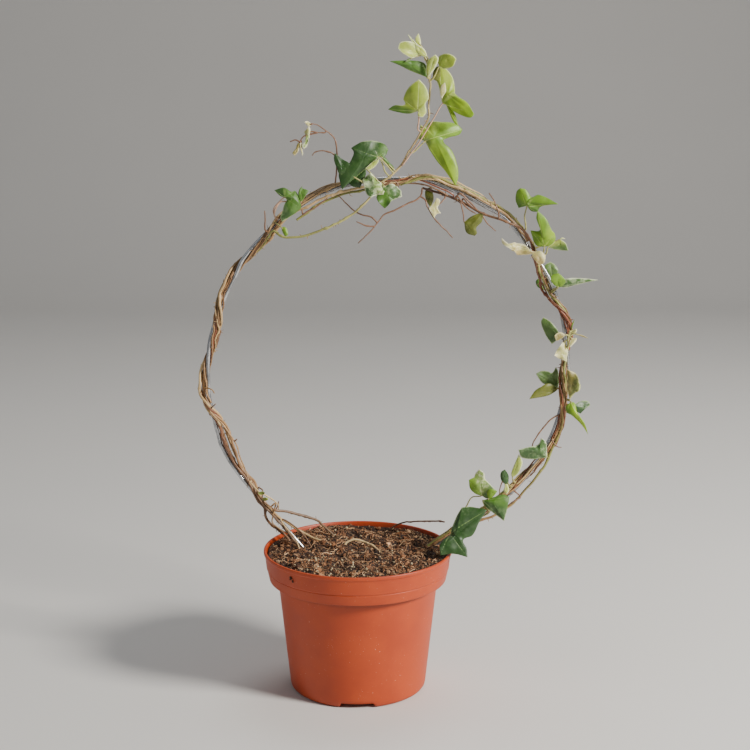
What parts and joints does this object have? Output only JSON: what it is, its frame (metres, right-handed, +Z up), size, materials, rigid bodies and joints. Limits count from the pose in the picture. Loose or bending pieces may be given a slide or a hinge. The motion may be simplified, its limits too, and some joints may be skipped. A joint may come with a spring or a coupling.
{
  "type": "potted ivy on a wire hoop",
  "caption": "Climbing ivy trained round an upright wire hoop that stands in a round pot of soil, with small lobed leaves, bare winding stems and a tall young top shoot.",
  "frame": {"origin": "middle of the pot's base, on the surface that it stands on", "axes": "+Z up, +X to the right along the hoop's plane, +Y to the back of the hoop"},
  "size_m": [0.251, 0.12, 0.4121],
  "materials": {
    "terracotta_plastic": "matt injection-moulded nursery pot, finely scuffed on the collar",
    "potting_soil": "crumbly peat with fibres and pale grit",
    "galvanised_wire": "bright drawn wire, lightly dulled",
    "brown_bark": "thin woody bark with nodes and rootlets",
    "ivy_green": "leathery leaves, dark green to yellow-green, with paler veins"
  },
  "bodies": {
    "root": {"pot": "terracotta_plastic", "soil": "potting_soil", "hoop_wire": "galvanised_wire", "stem_over_the_top": "brown_bark", "stem_to_top_shoot": "ivy_green", "stem_cut_at_top": "brown_bark", "stem_with_dried_shoot": "ivy_green", "stem_with_hanging_twigs": "brown_bark", "stem_leafy_high": "ivy_green", "stem_leafy_middle": "ivy_green", "stem_leafy_low": "ivy_green", "dead_stem_arch": "brown_bark", "dead_stem_at_back": "brown_bark"}
  },
  "joints": []
}
